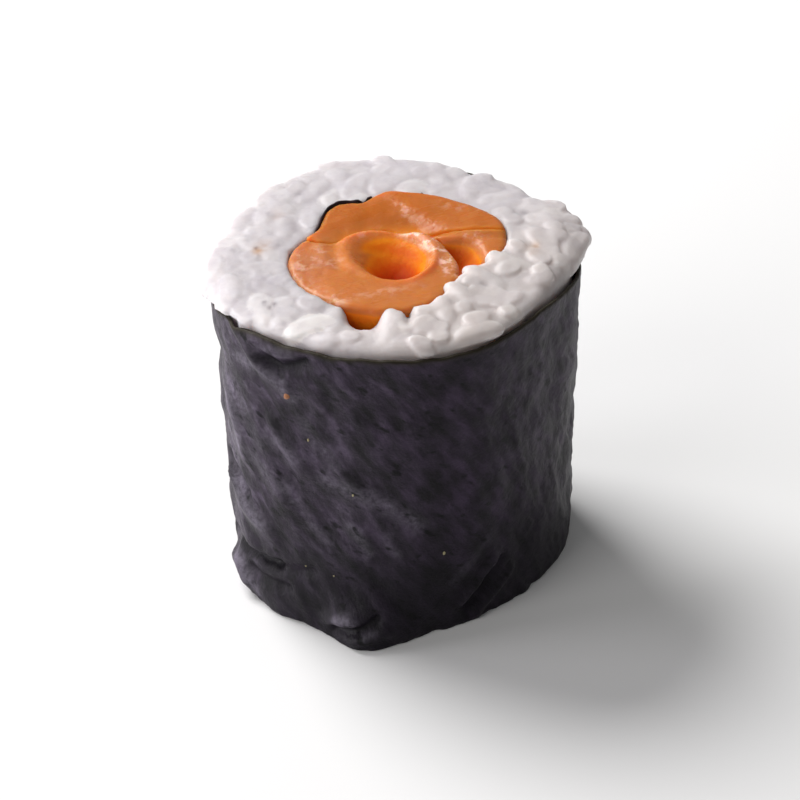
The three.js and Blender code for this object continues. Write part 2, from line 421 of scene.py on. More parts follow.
def salmon_top_colour(tree, plain, streaks):
    """The flesh where the knife cut it: paler streaks, dull places, and painted glints, as pale bands and
    fine specks that stand for wet highlights.
    """
    painted_glints = attribute(tree, "painted_glints")
    colour = mix(tree, attribute(tree, "dull"), (0.55, 0.17, 0.041), (0.42, 0.1, 0.006))
    colour = mix(tree, times(tree, streaks, 0.25), colour, (0.6, 0.25, 0.085))
    colour = mix(tree, times(tree, attribute(tree, "pale"), 0.55), colour, (0.45, 0.16, 0.08))
    colour = mix(tree, times(tree, painted_glints, 0.3), colour, (0.66, 0.31, 0.17))
    glint_specks = ramp(tree, texture(tree, plain, 1000, 3, 0.6), (0.49, (0, 0, 0)), (0.6, (1, 1, 1)))
    return mix(tree, times(tree, glint_specks, painted_glints), colour, (0.84, 0.54, 0.43))


def salmon_material():
    material, tree, shader = new_material("raw_salmon")
    plain = object_place(tree)
    depth = attribute(tree, "depth")
    along = drawn_out(tree, plain, (0.006, 0.0016, 0.004), 25)
    streaks = texture(tree, along, 1.0, 4, 0.55)
    # Painted shade and glow with depth: a lighter orange just below the top, darkening to red deep in the
    # hollow.
    depth_shade_and_glow = ramp(
        tree, depth,
        (0.0, (0.62, 0.19, 0.03)), (0.2, (0.8, 0.24, 0.008)),
        (0.55, (0.68, 0.105, 0.001)), (1.0, (0.47, 0.033, 0.001)),
    )
    reach = times(tree, depth, 6.0, clamp=True)
    fibres = bump(tree, streaks, 0.28, 0.0003)
    fine = texture(tree, plain, 1100, 4, 0.6)
    dry = maths(tree, "MULTIPLY_ADD", depth, 0.4, 0.1)
    set_inputs(tree, shader, {
        "Base Color": mix(tree, reach, salmon_top_colour(tree, plain, streaks), depth_shade_and_glow),
        "Normal": bump(tree, fine, 0.55, 0.00016, fibres),
        "Roughness": maths(tree, "MULTIPLY_ADD", streaks, 0.35, dry),
        "Specular IOR Level": 0.16,
        "Subsurface Weight": 0.75,
        "Subsurface Radius": (1.0, 0.35, 0.08),
        "Subsurface Scale": 0.003,
    })
    return material


def nori_colour(tree, place, streaks, grain, tint, painted_sheen_colour):
    """A dark sheet with a painted sheen on its lit side, painted highlight streaks, painted shade in creases
    and towards the foot, black marks, pits and a brownish edge.
    """
    light = tuple(2.2 * v for v in tint)
    dark = ramp(tree, streaks, (0.39, (0.006, 0.0045, 0.0065)), (0.5, tint), (0.62, light))
    # Painted sheen: a lighter purple-grey laid where the wrap faces the light.
    painted_sheen = ramp(tree, streaks, (0.38, (0.03, 0.026, 0.035)), (0.52, (0.11, 0.098, 0.118)), (0.63, painted_sheen_colour))
    speckled = times(tree, maths(tree, "SUBTRACT", grain, 0.25), 2.0, clamp=True)
    colour = mix(tree, times(tree, attribute(tree, "painted_sheen"), speckled), dark, painted_sheen)
    # Painted highlights: pale streaks where light catches the crinkles.
    highlighted = times(tree, attribute(tree, "painted_highlight"), speckled)
    colour = mix(tree, times(tree, highlighted, 0.85), colour, (0.2, 0.18, 0.225))
    # Painted shade: near-black in folds, creases and towards the foot, with black marks.
    painted_shade_share = times(tree, attribute(tree, "painted_shade"), 0.9)
    colour = mix(tree, painted_shade_share, colour, (0.002, 0.0015, 0.003))
    pits = texture(tree, drawn_out(tree, place, (1.7, 0.9, 1.0), -30), 1.0, 2)
    pitted = ramp(tree, pits, (0.29, (0.12, 0.12, 0.13)), (0.4, (1.0, 1.0, 1.0)))
    colour = mix(tree, 1.0, colour, pitted, "MULTIPLY")
    return mix(tree, attribute(tree, "edge"), colour, (0.026, 0.021, 0.011))


def nori_material(name, tint, painted_sheen_colour):
    """Pressed seaweed, with slanting streaks that follow the sheet round."""
    material, tree, shader = new_material(name)
    inputs = {"X": attribute(tree, "around"), "Y": attribute(tree, "upward")}
    place = add_node(tree, "ShaderNodeCombineXYZ", inputs, "Vector")
    slanting = texture(tree, drawn_out(tree, place, (4.5, 1.5, 1.0), -52), 1.0, 4, 0.55)
    blotches = texture(tree, place, 0.38, 4, 0.6)
    streaks = maths(tree, "MULTIPLY_ADD", slanting, 0.62, times(tree, blotches, 0.38))
    grain = texture(tree, place, 1.9, 5, 0.7)
    relief = bump(tree, streaks, 0.4, 0.0005)
    set_inputs(tree, shader, {
        "Base Color": nori_colour(tree, place, streaks, grain, tint, painted_sheen_colour),
        "Normal": bump(tree, grain, 0.55, 0.00025, relief),
        "Roughness": 0.45,
        "Specular IOR Level": 0.16,
        "Sheen Weight": 0.03,
        "Sheen Roughness": 0.5,
        "Sheen Tint": (0.8, 0.72, 0.9),
    })
    return material


def fleck_material():
    material, tree, shader = new_material("flecks")
    warm = attribute(tree, "warm")
    colour = ramp(tree, warm, (0, (0.05, 0.045, 0.05)), (0.5, (0.36, 0.13, 0.04)), (1, (0.33, 0.29, 0.14)))
    cloud = texture(tree, object_place(tree), 1200, 2)
    colour = mix(tree, times(tree, cloud, 0.3), colour, (0.3, 0.26, 0.24))
    set_inputs(tree, shader, {"Base Color": colour, "Roughness": 0.5})
    return material


def floor_material():
    material, tree, shader = new_material("floor")
    cloud = texture(tree, object_place(tree), 3, 2)
    colour = ramp(tree, cloud, (0, (0.86, 0.86, 0.86)), (1, (0.88, 0.88, 0.88)))
    set_inputs(tree, shader, {"Base Color": colour, "Roughness": 0.9, "Specular IOR Level": 0.1})
    return material


# ---- Outer wrap of nori ----

NORI_THICKNESS = 0.35
NORI_TINT = (0.0195, 0.013, 0.024)
# Colour of the painted sheen on the wrap's lit left side.
NORI_PAINTED_SHEEN = (0.315, 0.28, 0.355)
WRAP_PITCH = 0.3
EDGE_WAVE = 0.22
CREASE_SLANT = deg(-58)

# Where rice hangs over the wrap's upper edge, and where its outside gets a painted sheen, as (amount,
# direction, width).
EDGE_DIPS = [(1.5, 185, 15), (1.5, 14, 24)]
PAINTED_SHEEN_SIDES = [(0.95, 200, 17), (0.27, 243, 23)]

# Folds and ridges pressed into the wrap, as (points of (degrees round, height), width, depth inwards).
WRAP_FOLDS = [
    ([(184, 5.2), (191, 4.5), (198, 4.2)], 1.1, 0.4),
    ([(202, 5.2), (206, 5.1), (211, 4.7), (219, 4.9), (227, 5.4)], 0.6, 1.25),
    ([(229, 5.5), (234, 5.6), (241, 6.2)], 0.6, 0.5),
    ([(201, 2.3), (205, 2.4), (212, 1.6)], 1.1, -0.95),
    ([(208, -0.4), (214, -0.4), (223, -0.4)], 0.9, 0.3),
    ([(214, 3.0), (221, 3.2), (232, 3.5)], 0.6, 0.65),
    ([(190, 24.5), (200, 25.5)], 2.2, 0.4),
    ([(226, 29.3), (233, 29.0), (240, 30.2)], 0.6, 0.7),
    ([(222, 30.9), (229, 30.5), (237, 30.7)], 0.5, -0.35),
    ([(215, 31.2), (224, 28.8), (234, 26.6)], 0.8, -0.55),
    ([(203, 14.6), (209, 13.0), (214, 12.2)], 0.7, 0.5),
    ([(206, 24.0), (210, 21.0), (216, 16.8)], 1.2, -0.45),
    ([(204, 12.4), (212, 10.4), (224, 9.2)], 1.1, -0.5),
    ([(218, 21.6), (226, 17.6), (232, 13.6)], 1.0, -0.3),
    ([(247, 1.7), (251, 2.1), (257, 2.6)], 0.5, -0.6),
    ([(251, 1.1), (255, 1.3), (260, 1.9), (264, 2.9)], 0.42, 0.8),
    ([(257, 0.8), (262, 1.2), (268, 1.6)], 0.45, -0.35),
    ([(294, 2.6), (300, 4.2), (307, 6.4)], 0.55, -0.5),
    ([(297, 1.6), (304, 3.2), (311, 5.6)], 0.5, 0.55),
    ([(300, 0.6), (308, 2.0), (316, 3.8)], 0.6, -0.45),
    ([(228, 22.4), (234, 19.8), (239, 17.6)], 0.7, -0.28),
    ([(250, 19.2), (257, 17.4), (262, 15.8)], 0.6, -0.22),
]

# Painted highlight streaks, and black marks that are painted shade where they lie along creases, on the
# wrap, as (points of (degrees round, height), width, strength).
PAINTED_HIGHLIGHT_STREAKS = [
    ([(213, 27.6), (222, 28.1), (231, 27.6), (236, 26.0)], 0.7, 0.8),
    ([(225, 30.4), (236, 30.9)], 0.5, 0.45),
    ([(209, 23.6), (211, 20.0), (208, 14.8)], 1.2, 0.6),
    ([(215, 22.9), (218, 21.0), (223, 18.9)], 0.7, 0.5),
    ([(209, 12.4), (213, 10.7), (222, 9.6)], 1.0, 0.8),
    ([(226, 20.1), (232, 20.2), (235, 18.8)], 0.8, 0.5),
    ([(220, 17.4), (226, 15.8), (232, 15.4)], 0.8, 0.5),
    ([(247, 17.4), (257, 16.6), (266, 15.6), (277, 12.8)], 0.9, 0.55),
    ([(255, 13.0), (258, 11.4), (261, 9.7)], 0.5, 0.55),
    ([(267, 11.8), (270, 9.4)], 0.4, 0.45),
    ([(240, 23.4), (244, 21.0), (251, 19.0)], 0.6, 0.4),
    ([(236, 14.2), (241, 12.0), (247, 10.4)], 0.5, 0.4),
    ([(204, 3.7), (209, 2.6), (214, 1.6), (218, 0.8)], 0.6, 0.9),
    ([(249, 1.9), (253, 2.4), (258, 2.6)], 0.4, 0.9),
    ([(260, 1.4), (264, 1.7)], 0.4, 0.5),
    ([(290, 5.5), (297, 7.0), (303, 9.0)], 0.6, 0.35),
]
BLACK_MARKS_AND_CREASE_SHADE = [
    ([(225, 29.1), (234, 29.4)], 0.6, 0.7),
    ([(203, 4.4), (212, 4.4), (220, 5.2), (228, 5.9)], 0.7, 1.0),
    ([(212, 3.6), (221, 3.4), (225, 2.4)], 0.6, 0.9),
    ([(231, 5.8), (239, 6.2)], 0.6, 0.7),
    ([(251, 1.3), (257, 1.8), (262, 2.3)], 0.4, 1.0),
    ([(248, 27.9), (249, 26.4)], 0.45, 0.7),
    ([(256, 25.4), (262, 23.2)], 0.5, 0.6),
    ([(218, 21.0), (219, 19.8)], 0.4, 0.6),
    ([(246, 23.1), (250, 21.9)], 0.45, 0.7),
    ([(257, 19.3), (262, 18.9)], 0.45, 0.7),
    ([(224, 20.5), (226, 19.6)], 0.4, 0.6),
    ([(290, 4.4), (296, 6.0), (303, 8.6)], 0.5, 0.6),
]


def from_path(angle, height, path):
    """How far points of the unrolled sheet lie from a path on it."""
    around = (angle % TURN) * WRAP_RADIUS
    corners = [(deg(turn) * WRAP_RADIUS, z) for turn, z in path]
    return np.minimum.reduce([from_line(around, height, a, b)[0] for a, b in zip(corners, corners[1:])])


def wrap_edge(angle):
    """The height of the wrap's upper edge, which dips where rice hangs over it."""
    return PIECE_HEIGHT - 0.1 - humps(angle, EDGE_DIPS)


def fold_depth(angle, height):
    """How far the folds press the wrap in, or push it out where negative."""
    return sum(depth * bell(from_path(angle, height, path), width) for path, width, depth in WRAP_FOLDS)


def marked(angle, height, marks):
    """How strongly the wrap is marked by ragged streaks."""
    ragged = 0.35 * octaves(points_at((angle % TURN) * WRAP_RADIUS, height), 0.9, 2, 33)
    total = np.zeros(angle.shape)
    for path, width, strength in marks:
        away = np.maximum(from_path(angle, height, path) + ragged, 0)
        total = np.maximum(total, strength * bell(away, width))
    return total


def wrap_relief(angle, height):
    """How far the wrap stands out from its plain form: lumps of the rice behind it, creases and folds."""
    spots = points_round(WRAP_RADIUS, angle, height)
    around = (angle % TURN) * WRAP_RADIUS
    c, s = np.cos(CREASE_SLANT), np.sin(CREASE_SLANT)
    slanting = points_at((around * c + height * s) / 3.6, (height * c - around * s) / 1.3)
    relief = 0.24 * octaves(spots, 5.0, 2, 1) + 0.17 * octaves(slanting, 1.0, 3, 5)
    relief += 0.05 * octaves(spots, 1.3, 2, 9)
    calm = 0.35 + 0.65 * fade(PIECE_HEIGHT - height, 0, 4)
    return relief * calm - fold_depth(angle, height)


def wrap_sheet(angle, height, lobes):
    """How far out the wrap's outer face stands, before it climbs over its own start."""
    radius = (wrap_radius(angle) - CLEARANCE) * foot_share(angle, height, lobes)
    return radius + wrap_relief(angle, height)


def wrap_values(angle, height, share):
    """What the wrap's material reads: painted sheen, painted shade with black marks, painted highlight
    streaks, the place on the sheet and its edge.
    """
    folds = fold_depth(angle, height)
    # Painted highlight streaks.
    pale = marked(angle, height, PAINTED_HIGHLIGHT_STREAKS)
    spots = points_round(WRAP_RADIUS, angle) + height[..., None]
    # Painted sheen on the lit left side, and painted highlights on the ridges of the folds.
    painted_sheen = humps(angle, PAINTED_SHEEN_SIDES) * (fade(height, -6, 9) * (0.85 + 0.3 * noise(spots, 4.0, 15)))
    # Painted shade, darker towards the foot, except at the fold on the left.
    painted_shade_at_foot = 0.75 * (1 - fade(height, 4.5, 14)) * (1 - 0.8 * hump(angle, 205, 12))
    # Painted shade in the folds, taken with the black marks, of which those along creases are painted shade
    # too.
    shade_in_folds_and_marks = np.maximum(fade(folds, 0.1, 0.7), marked(angle, height, BLACK_MARKS_AND_CREASE_SHADE))
    return {
        "painted_sheen": np.clip(painted_sheen + 0.5 * np.clip(-folds, 0, 1), 0, 1),
        "painted_shade": np.maximum(shade_in_folds_and_marks, painted_shade_at_foot * (1 - pale)),
        "painted_highlight": pale,
        "around": angle * WRAP_RADIUS,
        "upward": height,
        "edge": fade(share, 0.985, 1.0),
    }


def build_wrap():
    end = SEAM_ANGLE + TURN
    ways = np.linspace(SEAM_ANGLE, end + LAP_ANGLE, int(WRAP_RADIUS * (TURN + LAP_ANGLE) / WRAP_PITCH))
    angle, share = np.meshgrid(ways, np.linspace(0, 1, int(PIECE_HEIGHT / WRAP_PITCH)), indexing="ij")
    ragged = EDGE_WAVE * (octaves(points_round(WRAP_RADIUS, angle), 2.2, 3, 4) - 0.4)
    height = share * (wrap_edge(angle) + ragged * share**6)
    climb = (NORI_THICKNESS + CLEARANCE) * fade(angle, end - RAMP_ANGLE, end)
    outer = wrap_sheet(angle, height, FOOT_TUCKS + WRAP_FLARES) + climb
    sides = [points_round(radius, angle, height) for radius in (outer, outer - NORI_THICKNESS)]
    material = nori_material("nori", NORI_TINT, NORI_PAINTED_SHEEN)
    make_sheet("nori_sheet", sides, False, material, "nori_wrap", wrap_values(angle, height, share))


# ---- Inner strip of nori ----

FILM_TINT = (0.02, 0.011, 0.013)
# Colour of a painted sheen, though the strip gets none of it.
FILM_PAINTED_SHEEN = (0.05, 0.04, 0.04)
STRIP_WAYS = 260
STRIP_LEVELS = 24
STRIP_LOW = PIECE_HEIGHT - 1.6
STRIP_PEEK = 0.165

# Where the strip's edge shows above the rice, and where it stands higher, as (amount, direction, width).
STRIP_SHOWS = [
    (1.0, 144, 19),
    (1.0, 118, 12),
    (0.75, 104.5, 3),
    (0.75, 76, 5),
    (0.3, 27, 4),
    (0.4, 178, 3),
]
STRIP_PEAKS = [(0.18, 120, 20), (0.5, 76, 5)]


def strip_shows(angle):
    """1 where the strip's edge shows between salmon and rice, 0 where the rice has closed over it."""
    return np.clip(humps(angle, STRIP_SHOWS), 0, 1)


def strip_top(angle):
    """The height of the strip's upper edge: just above the rice beside it, or hidden well below."""
    beside = rice_top(*round_filling(filling_radius(angle) + 1.2, angle))
    rise = beside + STRIP_PEEK + humps(angle, STRIP_PEAKS) - STRIP_LOW
    ragged = 0.12 * octaves(points_round(FILLING_RADIUS, angle), 1.0, 2, 2)
    return STRIP_LOW + rise * fade(strip_shows(angle), 0.05, 0.9) + ragged


def build_strip():
    ways = np.linspace(0, TURN, STRIP_WAYS, endpoint=False)
    angle, share = np.meshgrid(ways, np.linspace(0, 1, STRIP_LEVELS), indexing="ij")
    height = strip_top(angle) * share
    closed_up = 0.14 * fade(height, PIECE_HEIGHT - 3, PIECE_HEIGHT - 1)
    uneven = 0.05 * noise(points_round(FILLING_RADIUS, angle) + height[..., None], 1.5, 3)
    sides = []
    for offset, closing in ((FILM_OUTER, 2.0), (CLEARANCE, 1.1)):
        x, y = round_filling(filling_radius(angle) + offset - closing * closed_up + uneven, angle)
        sides.append(points_at(x * girth(height), y * girth(height), height))
    values = dict.fromkeys(("painted_sheen", "painted_shade", "painted_highlight", "edge"), np.zeros(angle.shape))
    values |= {"around": angle * FILLING_RADIUS, "upward": height}
    material = nori_material("nori_film", FILM_TINT, FILM_PAINTED_SHEEN)
    make_sheet("nori_film", sides, True, material, "nori_inner_strip", values)


# ---- Rice ----

RICE_PITCH = 0.21
GRAIN_RADIUS = 1.12
GRAIN_HALF = 1.75
GRAIN_FLATNESS = 0.88
GRAIN_BLEND = 0.25
GRAIN_BEND = 0.5
STEEPEST = deg(75)
BEADS = np.array([-1.0, -1 / 3, 1 / 3, 1.0])

# Rows of (amount, direction, width): where grains stand out whole, where the outer edge droops, how much
# further than RICE_OVERHANG rice spills over the wrap, how unevenly, and where it closes on the salmon.
PEBBLED_SIDES = [(1.0, -62, 48), (0.7, 5, 28)]
RICE_DROOPS = [(0.55, -90, 60), (0.8, 5, 32), (0.5, 186, 22)]
RICE_OVERHANG = 0.4
RICE_SPILLS = [
    (0.45, 140, 36),
    (0.8, 20, 20),
    (0.8, 184, 28),
    (-0.75, -95, 55),
    (-0.8, -16, 24),
    (-0.7, 65, 6),
    (-0.8, 41, 6),
]
UNEVEN_SPILLS = [(0.5, 18, 24), (0.3, 188, 20)]
RICE_CLOSINGS = [(0.12, 200, 35), (0.1, 5, 16)]

# Low places at the near edge of the salmon, where its side shows, as (x, half width, sharpness, depth).
NOTCHES = [(-3.05, 1.62, 4, 2.0), (1.15, 0.4, 2, 1.0)]

# One pale long grain and grains that crowd over the salmon, as (x, y, height, yaw, pitch, size, tone).
PLACED_GRAINS = [
    (-7.8, -12.0, 32.45, 24, 3, 0.95, 1.0),
    (-0.4, -12.45, 32.1, 86, 5, 1.05, 0.6),
    (3.4, -9.7, 32.35, 12, 2, 0.8, 0.55),
    (4.6, -10.2, 32.3, 100, 10, 0.9, 0.45),
    (6.5, -7.6, 32.3, 125, 10, 0.95, 0.6),
    (8.4, -4.4, 32.3, 140, 8, 0.95, 0.65),
    (10.6, -1.6, 32.3, 155, 8, 0.95, 0.7),
    (-5.7, -11.2, 32.2, 75, 6, 0.9, 0.6),
]

# Rounds of thrown grains, as (tries, spacing, from the foot, (depths), tilt, (sizes)).
GRAIN_ROUNDS = [
    (4000, 1.95, False, (0.6, 0.9), 8, (0.95, 1.12)),
    (6000, 1.55, False, (0.65, 1.1), 26, (0.85, 1.05)),
    (9000, 1.25, False, (0.7, 1.15), 40, (0.75, 0.95)),
    (2500, 1.7, False, (1.8, 3.2), 30, (0.85, 1.05)),
    (3000, 1.9, True, (0.5, 0.8), 9, (0.9, 1.1)),
    (4000, 1.5, True, (0.6, 1.0), 30, (0.75, 1.0)),
]

# Stains as (x, y, size, strength): small flecks of salmon at the left and right, and bits of seaweed, with
# one broad grey patch of painted shade.
ORANGE_STAINS = [
    (-13.1, 0.8, 0.5, 0.75),
    (-12.3, 1.5, 0.75, 0.3),
    (-11.2, 6.9, 0.7, 0.18),
    (13.1, 1.0, 0.4, 0.45),
    (12.7, 0.2, 0.8, 0.2),
]
GREY_STAINS = [
    # Broad and faint: painted shade on the rice's left rim.
    (-15.5, -1.5, 3.2, 0.1),
    (-11.3, 1.9, 0.3, 0.35),
    (-13.2, 1.3, 0.22, 0.5),
    (-12.1, 7.0, 0.28, 0.45),
    (-14.0, 3.2, 0.55, 0.25),
    (-13.0, -5.3, 0.5, 0.25),
    (-12.2, -8.6, 0.28, 0.75),
    (-11.7, -9.3, 0.22, 0.6),
    (-11.2, -8.7, 0.25, 0.7),
    (-9.2, 10.9, 0.3, 0.3),
    (12.1, 7.2, 0.4, 0.35),
    (-10.4, -12.0, 0.3, 0.45),
]


def pebbled(angle):
    """1 on the near and right sides, where grains stand out whole, and 0 where the knife left them flat."""
    return np.clip(humps(angle, PEBBLED_SIDES), 0, 1)


def notch(x, y):
    """How deep the low places at the near edge of the salmon are."""
    low = sum(depth * np.exp(-(((x - middle) / half) ** sharp)) for middle, half, sharp, depth in NOTCHES)
    return low * (y < 0)


def rice_top(x, y):
    """The height at which the knife left the rice: higher against the salmon on the near and right sides."""
    away, angle = beside_filling(x, y)
    close = 1 - fade(away, 0.3, 4.0)
    rim, way = np.hypot(x, y), np.arctan2(y, x)
    shoulder = fade(rim, wrap_radius(way) - 2.6, wrap_radius(way) + 0.6)
    lean = 0.45 * hump(angle, -32, 50) * close
    lumps = 0.18 * noise(points_at(x, y), 3.0, 12)
    flat = PIECE_HEIGHT + 0.95 + 0.4 * pebbled(way) + lean + lumps
    return flat - (0.1 + humps(way, RICE_DROOPS)) * shoulder - notch(x, y) * close


def rice_limit(angle, height):
    """How far rice may reach: up to the wrap, and spilling over its upper edge."""
    inside = wrap_sheet(angle, np.clip(height, 0, PIECE_HEIGHT), FOOT_TUCKS) - NORI_THICKNESS - 0.12
    spill = RICE_OVERHANG + 0.4 * fade(np.sin(angle), 0.0, 0.3) + humps(angle, RICE_SPILLS)
    uneven = humps(angle, UNEVEN_SPILLS) * noise(points_round(WRAP_RADIUS, angle, height), 1.9, 17)
    over = wrap_radius(angle) - CLEARANCE + spill + uneven
    edge = wrap_edge(angle)
    return inside + (over - inside) * fade(height, edge - 0.05, edge + 0.4)


def tabled(rule, ways, low, high, steps):
    """The same rule of direction and height, worked out once on a fine table and then looked up."""
    angles = np.linspace(-np.pi, np.pi, ways + 1)
    heights = np.linspace(low, high, (high - low) * steps + 1)
    table = rule(*np.meshgrid(angles, heights, indexing="ij"))

    def look_up(angle, height):
        i = np.rint(((angle + np.pi) % TURN) / TURN * ways).astype(int)
        j = np.rint((np.clip(height, low, high) - low) * steps).astype(int)
        return table[i, j]

    return look_up


rice_outer = tabled(rice_limit, 1080, -1, 37, 10)


def rice_inner(x, y, z, crowding=0.0):
    """How far points lie inside the ring's inner wall, which closes on the salmon where no film shows.

    Whole grains may crowd over the salmon's near and right edge.
    """
    away, angle = beside_filling(x / girth(z), y / girth(z))
    closing = 0.28 + 0.26 * (1 - fade(strip_shows(angle), 0, 0.6)) + humps(angle, RICE_CLOSINGS)
    closing += crowding * hump(angle, -45, 48)
    return FILM_OUTER + 0.08 - closing * fade(z, PIECE_HEIGHT - 1.0, PIECE_HEIGHT) - away


def make_grain(centre, yaw, pitch, size, tone):
    """One grain: a row of beads along its length, which is bent a little."""
    along = np.array([np.cos(pitch) * np.cos(yaw), np.cos(pitch) * np.sin(yaw), np.sin(pitch)])
    across = np.cross(along, (0, 0, 1.0))
    across /= np.linalg.norm(across)
    centre = np.asarray(centre, float)
    half = GRAIN_HALF * size
    return {
        "centre": centre,
        "axes": np.array([along, across, np.cross(along, across)]),
        "half": half,
        "radius": GRAIN_RADIUS * size,
        "bend": GRAIN_BEND * np.sin(9.0 * yaw),
        "tone": tone,
        "beads": centre + np.outer(BEADS * half, along),
    }


def in_ring(beads, height):
    """Whether a grain lies between the salmon and the wrap."""
    x, y, _ = beads.T
    radius, angle = np.hypot(x, y), np.arctan2(y, x)
    outside = radius > rice_outer(angle, height) - 0.85 * GRAIN_RADIUS
    inside = rice_inner(x, y, np.full_like(x, height)) > -0.7 * GRAIN_RADIUS
    return not np.any(outside | inside)


def throw_grain(rng, from_foot, depths, tilt, sizes):
    """One grain thrown into the ring at a depth below its cut face, or above its foot."""
    angle = rng.uniform(0, TURN)
    reach = np.sqrt(rng.uniform(filling_radius(angle) ** 2, wrap_radius(angle) ** 2))
    x, y = reach * np.cos(angle), reach * np.sin(angle)
    depth = rng.uniform(*depths)
    z = depth if from_foot else rice_top(x, y) - depth
    size = rng.uniform(*sizes)
    tone = float(np.clip(rng.normal(0.5, 0.11 + 0.08 * pebbled(angle)), 0, 1))
    lean = rng.normal(0, deg(tilt) + deg(12) * pebbled(angle))
    return make_grain((x, y, z), rng.uniform(0, TURN), np.clip(lean, -STEEPEST, STEEPEST), size, tone)


def throw_grains(rng, grains, tries, spacing, from_foot, *how):
    """Adds grains thrown one by one, each kept where it fits."""
    taken = np.vstack([grain["beads"] for grain in grains])
    level = 1.0 if from_foot else PIECE_HEIGHT + 0.3
    for _ in range(tries):
        grain = throw_grain(rng, from_foot, *how)
        beads = grain["beads"]
        if in_ring(beads, level) and np.linalg.norm(taken[:, None] - beads, axis=-1).min() > spacing:
            grains.append(grain)
            taken = np.vstack((taken, beads))


def scatter_rice():
    rng = np.random.default_rng(11)
    grains = [make_grain(row[:3], deg(row[3]), deg(row[4]), *row[5:]) for row in PLACED_GRAINS]
    for row in GRAIN_ROUNDS:
        throw_grains(rng, grains, *row)
    return grains


def add_grain(field, owner, nearest, axes, grain, index):
    """Joins one grain to the field, and notes the points that are nearest to it."""
    centre, half, length = grain["centre"], grain["half"], grain["half"] + grain["radius"]
    reach = length + 0.8
    window = tuple(slice(*np.searchsorted(line, (c - reach, c + reach))) for line, c in zip(axes, centre))
    grid = np.meshgrid(*(line[part] for line, part in zip(axes, window)), indexing="ij")
    x, y, z = np.moveaxis((np.stack(grid, axis=-1) - centre) @ grain["axes"].T, -1, 0)
    y = y + grain["bend"] * (x / length) ** 2
    taper = np.maximum(1 - 0.3 * (x / length) ** 2, 0.4)
    past = np.maximum(abs(x) - half, 0)
    distance = np.sqrt(past**2 + (y**2 + (z / GRAIN_FLATNESS) ** 2) / taper**2) - 1.06 * grain["radius"]
    blend = GRAIN_BLEND * (1.6 - 0.4 * pebbled(np.arctan2(centre[1], centre[0])))
    field[window] = soft_min(field[window], distance, blend)
    owner[window] = np.where(distance < nearest[window], index, owner[window])
    nearest[window] = np.minimum(nearest[window], distance)


def rice_core(x, y, z, angle, top):
    """The rice between and below the grains."""
    lumps = noise(points_at(x, y), 1.3, 6)
    groove = 0.07 + 0.25 * pebbled(angle) + 0.06 * lumps
    core = np.maximum(z - (top - groove), 0.35 + 0.15 * lumps - z)
    core = soft_max(core, rice_inner(x, y, z), 0.25)
    return soft_max(core, soft_max(z - top, np.hypot(x, y) - rice_outer(angle, z) + 0.25, 1.6), 0.3)


def rice_field(grains, axes):
    """The rice as a field, and which grain is nearest at each point of it, or -1 where none is near."""
    x, y, z = np.meshgrid(*axes, indexing="ij", sparse=True)
    angle = np.arctan2(y, x)
    top = rice_top(x, y)
    core = rice_core(x, y, z, angle, top)
    field = np.full(core.shape, 3.0)
    owner = np.full(core.shape, -1)
    nearest = np.full(core.shape, 0.6)
    for index, grain in enumerate(grains):
        add_grain(field, owner, nearest, axes, grain, index)
    field = soft_max(field, soft_max(z - top, np.hypot(x, y) - rice_outer(angle, z), 0.9), 0.25)
    field = soft_max(field, rice_inner(x, y, z, 1.5), 0.25)
    return np.maximum(soft_min(field, core, 0.15), 0.02 - z), owner


def stained(points, stains):
    """How strongly the rice is stained by flecks of salmon or seaweed, which are longer along Y."""
    x, y, z = points.T
    total = sum(share * bell(np.hypot(x - a, (y - b) / 1.6), size) for a, b, size, share in stains)
    return np.clip(total * (0.8 + 0.5 * noise(points, 0.45, 40)) * (z > PIECE_HEIGHT - 1), 0, 1)


def build_rice():
    grains = scatter_rice()
    axes = block_axes(20.2, RICE_PITCH, 2.7, 27.7, 1.25)
    field, owner = rice_field(grains, axes)
    points, faces = surface_of(field, axes)
    spots = tuple(np.searchsorted(line, part).clip(max=len(line) - 1) for line, part in zip(axes, points.T))
    tones = np.array([grain["tone"] for grain in grains] + [0.3])[owner[spots]]
    points = roughened(points, faces, 0.04 * octaves(points, 0.8, 2, 8))
    make_piece("rice_grains", points, faces, rice_material(), "rice", {
        "tone": tones,
        # Where the painted shade of the near and right sides lies.
        "warm": pebbled(np.arctan2(points[:, 1], points[:, 0])),
        "orange_stain": stained(points, ORANGE_STAINS),
        "grey_stain": stained(points, GREY_STAINS),
    })


# ---- Salmon ----

SALMON_PITCH = 0.2
SLICE_ROUNDING = 0.6
SEAM_ROUNDING = 0.1
HOLLOW_MIDDLE = (HOLLOW_CENTRE[0], HOLLOW_CENTRE[1] + 0.4)
HOLLOW_RADII = (3.35, 4.2)
HOLLOW_TURN = deg(22)
HOLLOW_TIP = (0.6, -3.0)
HOLLOW_DEPTH = 5.7
HOLLOW_CURVE = 0.95

# Lines on the slices from above: the groove before the curl's tail, and the crescent's ridge.
TAIL_GROOVE = ((-5.9, 2.9), (-5.5, -2.2))
CRESCENT_RIDGE = ((0.3, 7.9), (2.6, 5.0))

